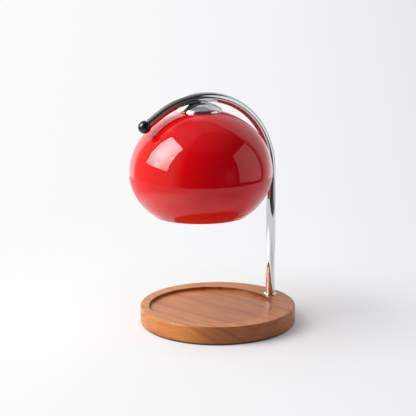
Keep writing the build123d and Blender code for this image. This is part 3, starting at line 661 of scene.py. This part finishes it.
# ---------------------------------------------------------------- ball knob
def make_ball():
    """A sphere turned about the arm's last direction. It is cut flat where it meets the tube, and
    the flat goes in to the stud's hole."""
    end = np.array([arm_line[-1, 0], 0.0, arm_line[-1, 1]])
    along = np.array([arm_direction[0], 0.0, arm_direction[1]])
    middle = end + along * BALL_SEAT
    polar = np.linspace(math.acos(BALL_SEAT / BALL_RADIUS), np.pi, BALL_STEPS)
    r = np.concatenate([[BALL_HOLE], BALL_RADIUS * np.sin(polar)])
    h = np.concatenate([[-BALL_SEAT], -BALL_RADIUS * np.cos(polar)])
    r[-1] = POLE_RADIUS
    side_a = np.array([0.0, 1.0, 0.0])
    side_b = np.cross(along, side_a)
    angle = round_angles(ROUND_STEPS)[None, :, None]
    around = np.cos(angle) * side_a + np.sin(angle) * side_b
    points = middle + h[:, None, None] * along + r[:, None, None] * around
    return grid_mesh("ball", points[::-1], close_v=True)


dress(make_ball(), "arm", [ball_black], "ball_knob")


# ---------------------------------------------------------------- window and board
# A light's place is the azimuth and elevation in degrees at which the shade sees it, and its
# corners are metres sideways and up from its middle.
LIGHT_DISTANCE = 1.1
LIGHT_AIM = np.array([shade_xy[0], 0.0, 0.2])
KEY_PLACE = (-104.0, 36.0)
KEY_SIZE = (0.85, 0.93)
KEY_POWER = 13.6
KEY_COLOUR = (1.0, 0.985, 0.97)
KEY_CORNERS = ((0.458, -0.450), (-0.458, -0.495), (0.272, 0.489), (-0.398, 0.451))
# Bright spots on the window, by their shares of its width and height: middle, radius, strength
WINDOW_SPOTS = (((0.48, 0.50), 0.62, 9.0), ((0.97, 0.50), 0.16, 8.0), ((0.50, 0.05), 0.22, 5.0))
BOARD_PLACE = (60.0, 12.0)
BOARD_CORNERS = ((-0.371, -0.457), (0.634, -0.479), (-0.290, 0.575), (0.529, 0.564))
BOARD_MIDDLE = (0.45, 0.5)
PANEL_STEPS = 9


def light_frame(seen_at):
    """The middle of a light, the direction away from the lamp, and its sideways and up
    directions."""
    a, e = (math.radians(v) for v in seen_at)
    away = np.array([math.sin(a) * math.cos(e), -math.cos(a) * math.cos(e), math.sin(e)])
    up = np.array([0, 0, 1.0]) - away[2] * away
    up /= np.linalg.norm(up)
    return LIGHT_AIM + LIGHT_DISTANCE * away, away, np.cross(away, up), up


def key_light():
    """A soft window that lights matt surfaces. What glossy ones mirror of it is a panel."""
    middle, away, side, up = light_frame(KEY_PLACE)
    data = bpy.data.lights.new("key_window", "AREA")
    data.shape = "RECTANGLE"
    data.size, data.size_y = KEY_SIZE
    data.energy = KEY_POWER
    data.color = KEY_COLOUR
    lamp = linked(bpy.data.objects.new("key_window", data))
    lamp.matrix_world = standing((-side, up, away), middle)
    lamp.visible_camera = False
    lamp.visible_glossy = False


def window_glow():
    """A soft box from inside: brightest in the middle, with bright spots at two edges."""
    material, g = bare_material("window_glow")
    u, v, _ = g.split(g.node("ShaderNodeTexCoord").outputs["UV"])
    glow = g.plus(g.step(u, 0.05, 0.0, 6.5, 14.0), g.step(v, 0.55, 1.0, 0.0, 4.0))
    for middle, radius, strength in WINDOW_SPOTS:
        glow = g.plus(glow, g.step(g.distance(u, v, middle), radius, 0.0, 0.0, strength))
    g.show(g.glow("ShaderNodeEmission", (1.0, 0.985, 0.975), glow))
    return material


def board_glow():
    """A pale board that the window lights, a little brighter in the middle."""
    material, g = bare_material("board_glow")
    u, v, _ = g.split(g.node("ShaderNodeTexCoord").outputs["UV"])
    away = g.distance(u, v, BOARD_MIDDLE)
    glow = g.plus(g.step(away, 0.8, 0.0, 0.74, 0.92), g.step(away, 0.08, 0.0, 0.0, 0.2))
    g.show(g.glow("ShaderNodeEmission", (1.0, 0.99, 0.98), glow))
    return material


def mirror_panel(name, seen_at, corners, glow, hidden):
    """A four-cornered panel that the camera never sees: straight lines between two sides, and its
    own map runs from 0 to 1 along each."""
    middle, _, side, up = light_frame(seen_at)
    share = np.linspace(0, 1, PANEL_STEPS)
    s, t = np.meshgrid(share, share, indexing="ij")
    weights = ((1 - s) * (1 - t), s * (1 - t), (1 - s) * t, s * t)
    x = sum(w * c[0] for w, c in zip(weights, corners))
    y = sum(w * c[1] for w, c in zip(weights, corners))
    panel = grid_mesh(name, middle + x[..., None] * side + y[..., None] * up)
    shares = np.column_stack([s.ravel(), t.ravel()])
    layer = panel.data.uv_layers.new(name="panel")
    corner = np.zeros(len(panel.data.loops), int)
    panel.data.loops.foreach_get("vertex_index", corner)
    layer.data.foreach_set("uv", shares[corner].ravel())
    panel.data.materials.append(glow)
    for ray in ("camera", "transmission", "volume_scatter", "shadow") + hidden:
        setattr(panel, f"visible_{ray}", False)


key_light()
mirror_panel("window", KEY_PLACE, KEY_CORNERS, window_glow(), ("diffuse",))
mirror_panel("side_board", BOARD_PLACE, BOARD_CORNERS, board_glow(), ())

# ---------------------------------------------------------------- backdrop and room
FADE_TURN = math.radians(30)
FADE_SIDEWAYS = (math.cos(FADE_TURN), -math.sin(FADE_TURN))
FADE_BACKWARDS = (math.sin(FADE_TURN), math.cos(FADE_TURN))
FLOOR_REACH = 2.0
HORIZON_REACH = 0.001
DEGREES = 180 / math.pi
ROOM_DIM = 0.03
ROOM_DIFFUSE = 0.06


def backdrop_tone(g, x, y, reach):
    """The backdrop's pale tone is painted light: it falls from its window side to its board side,
    and follows the distance sideways over the distance backwards plus a reach."""
    backwards = g.math("ABSOLUTE", g.along(x, y, FADE_BACKWARDS))
    fade = g.math("DIVIDE", g.along(x, y, FADE_SIDEWAYS), g.plus(backwards, reach))
    return g.ramp(g.plus(g.times(fade, 2.5), 0.5), [
        (0.0, (0.970, 0.985, 0.975)), (0.275, (0.955, 0.970, 0.962)),
        (0.475, (0.919, 0.922, 0.937)), (0.675, (0.890, 0.886, 0.914)),
        (0.875, (0.842, 0.834, 0.875)), (1.0, (0.785, 0.778, 0.818)),
    ])


def make_world():
    """The room by azimuth and elevation, in degrees: a white wall behind and to the left, a white
    board on the right, and a dark room on the viewer's side. The azimuth is counted from +Y,
    positive towards the left. Light from below reaches only the underside of the base."""
    world = bpy.data.worlds.new("studio")
    bpy.context.scene.world = world
    world.use_nodes = True
    world.node_tree.nodes.clear()
    g = Graph(world.node_tree)
    x, y, z = g.split(g.node("ShaderNodeTexCoord").outputs["Generated"])
    turn = g.times(g.math("ARCTAN2", g.times(x, -1.0), y), DEGREES)
    rise = g.times(g.math("ARCSINE", z), DEGREES)

    def patch(turns, turn_soft, rises, rise_soft, level):
        """A lit rectangle with soft edges."""
        shape = g.times(g.band(turn, *turns, turn_soft), g.band(rise, *rises, rise_soft))
        return g.times(shape, level)

    left_wall = g.times(g.band(turn, 10, 112, 14), g.step(rise, 62, 40, 0.12, 0.56))
    back_sheet = g.times(g.times(g.band(turn, -24, 20, 4), g.step(rise, 39, 34)), 1.45)
    back_top = patch((-30, 26), 8, (46, 54), 4, 0.5)
    side_top = g.step(turn, -98, -70, 44, 58.5)
    side_shape = g.times(
        g.band(turn, -92, -18, 7),
        g.step(rise, g.plus(side_top, 1.5), g.plus(side_top, -1.5)),
    )
    right_side = g.times(side_shape, g.step(rise, 58, 34, 0.42, 0.66))
    right_low = patch((-75, -40), 12, (-20, 4), 8, 0.6)
    skirting = patch((-143, -102), 4, (-12.1, -4), 0.4, 0.55)
    ceiling = g.times(g.step(rise, 42, 72), g.step(g.band(turn, -90, 118, 25), 0, 1, 0.12, 0.30))
    doorway = patch((-172, -154), 8, (-14, 14), 6, 0.10)
    hatch = patch((-166, -156), 1.0, (-2, 8), 1.0, 0.07)
    below = g.step(rise, -30, -45, 0.0, 0.55)
    room = ROOM_DIM
    for part in (below, left_wall, back_sheet, back_top, right_side, right_low, skirting, ceiling,
                 doorway, hatch):
        room = g.plus(part, room)
    rays = g.node("ShaderNodeLightPath")
    room = g.plus(room, g.times(rays.outputs["Is Diffuse Ray"], ROOM_DIFFUSE))
    warm_wall = g.times(g.band(turn, 22, 112, 12), g.step(rise, 46, 38))
    tint = g.mixed(warm_wall, (0.99, 0.99, 1.0), (1.0, 0.95, 0.70))
    shown = g.blend(
        rays.outputs["Is Camera Ray"],
        g.glow("ShaderNodeBackground", tint, room),
        g.glow("ShaderNodeBackground", backdrop_tone(g, x, y, HORIZON_REACH)),
    )
    g.show(shown, "ShaderNodeOutputWorld")


make_world()

# ---------------------------------------------------------------- floor
# A fade is a pair of distances between which something comes in: from the middle of the base,
# from the middle of the shadow, or, for the contact's side, towards the board.
TABLE_RADIUS = 0.80
TABLE_MIDDLE = (0.031, 0.205)
TABLE_SOFT = 0.01
UNDER_RADIUS = 0.094
UNDER_SOFT = 0.001
POOL_MIDDLE = (0.10, 0.17)
POOL_RADIUS = 0.55
POOL_GLOW = (1.045, 1.0)
SHADOW_MIDDLE = (0.03, 0.0)
SHADOW_FADE = (0.11, 0.34)
SHADOW_GLOW = (0.42, 0.88)
CONTACT_FADE = (0.130, 0.100)
CONTACT_SIDE = (0.015, 0.07)
CONTACT_DEPTH = 0.30
MATT_FADE = (0.3, 0.6)
MIRROR_FADE = (0.12, 0.30)
SPREAD_FADE = (0.30, 0.48)
SPREAD_LEVEL = 0.72
WINDOW_SIDE = (0.05, 0.16)  # shares of a full turn from +Y towards -X
WINDOW_SIDE_GAIN = (1.1, 1.45)
FLOOR_RINGS = (30.0, 6.0, 0.78, 0.3, 1e-4)
FLOOR_DROP = 0.2 * MM


def seen_paper(g, x, y, matt):
    """What the camera sees of the floor: matt paper near the lamp, darkest where the base's right
    side touches it, that turns into the glowing backdrop further out."""
    # Painted light: the backdrop's glow on the floor is a little brighter in a pool near the lamp.
    painted_light_pool = g.step(g.distance(x, y, POOL_MIDDLE), 0.0, POOL_RADIUS, *POOL_GLOW)
    backdrop = g.glow("ShaderNodeEmission", backdrop_tone(g, x, y, FLOOR_REACH), painted_light_pool)
    from_lamp = g.length(x, y)
    right_side = g.step(g.along(x, y, FADE_SIDEWAYS), *CONTACT_SIDE)
    contact = g.times(g.step(from_lamp, *CONTACT_FADE), right_side)
    outwards = g.step(g.distance(x, y, SHADOW_MIDDLE), *SHADOW_FADE, *SHADOW_GLOW)
    paper = g.blend(g.plus(outwards, g.times(contact, -CONTACT_DEPTH)), matt, backdrop)
    return g.blend(g.step(from_lamp, *MATT_FADE), paper, backdrop)


def mirrored_paper(g, x, y, matt, is_glossy):
    """What glossy surfaces mirror of the floor: matt paper at the base, and further out a glow
    that is bright behind, brightest on the window's side and dim towards the viewer."""
    turn = g.times(g.math("ARCTAN2", g.times(x, -1.0), y), 1 / (2 * math.pi))
    level = g.ramp(g.plus(turn, 0.5), [
        (0.0, 0.44), (0.08, 0.46), (0.20, 0.74), (0.33, 0.90), (0.45, 1.0), (0.56, 1.0),
        (0.66, 1.0), (0.79, 1.0), (0.90, 0.52), (1.0, 0.44),
    ])
    level = g.times(level, g.step(turn, *WINDOW_SIDE, *WINDOW_SIDE_GAIN))
    from_lamp = g.length(x, y)
    spread = g.step(from_lamp, *SPREAD_FADE)
    near = g.times(level, g.plus(1.0, g.times(spread, -1.0)))
    level = g.plus(near, g.times(spread, SPREAD_LEVEL))
    amount = g.times(g.step(from_lamp, *MIRROR_FADE), is_glossy)
    return g.blend(amount, matt, g.glow("ShaderNodeEmission", WHITE, level))


def floor_paper():
    """White paper on a round table. Beyond the table's edge it isn't there for reflections. It
    can't be seen from underneath, and under the base it lets light through."""
    material, g = bare_material("floor_paper")
    x, y, _ = g.split(g.node("ShaderNodeTexCoord").outputs["Object"])
    rays = g.node("ShaderNodeLightPath")
    clear = g.node("ShaderNodeBsdfTransparent").outputs[0]
    diffuse = g.node("ShaderNodeBsdfDiffuse")
    diffuse.inputs["Color"].default_value = (0.92, 0.92, 0.94, 1)
    matt = diffuse.outputs[0]
    table = mirrored_paper(g, x, y, matt, rays.outputs["Is Glossy Ray"])
    beyond = g.step(
        g.distance(x, y, TABLE_MIDDLE), TABLE_RADIUS - TABLE_SOFT, TABLE_RADIUS + TABLE_SOFT
    )
    table = g.blend(beyond, table, clear)
    under_base = g.step(g.length(x, y), UNDER_RADIUS, UNDER_RADIUS - UNDER_SOFT)
    table = g.blend(under_base, table, clear)
    shown = g.blend(rays.outputs["Is Camera Ray"], table, seen_paper(g, x, y, matt))
    backfacing = g.node("ShaderNodeNewGeometry").outputs["Backfacing"]
    g.show(g.blend(backfacing, shown, clear))
    return material


def make_floor():
    """A flat disc of paper under the lamp."""
    rings = np.column_stack([FLOOR_RINGS, np.full(len(FLOOR_RINGS), -FLOOR_DROP)])
    floor = grid_mesh("floor", turned_points(rings, (0.0, 0.0), FLOOR_ROUND_STEPS), close_v=True)
    floor.data.materials.append(floor_paper())


make_floor()

bpy.context.view_layer.update()
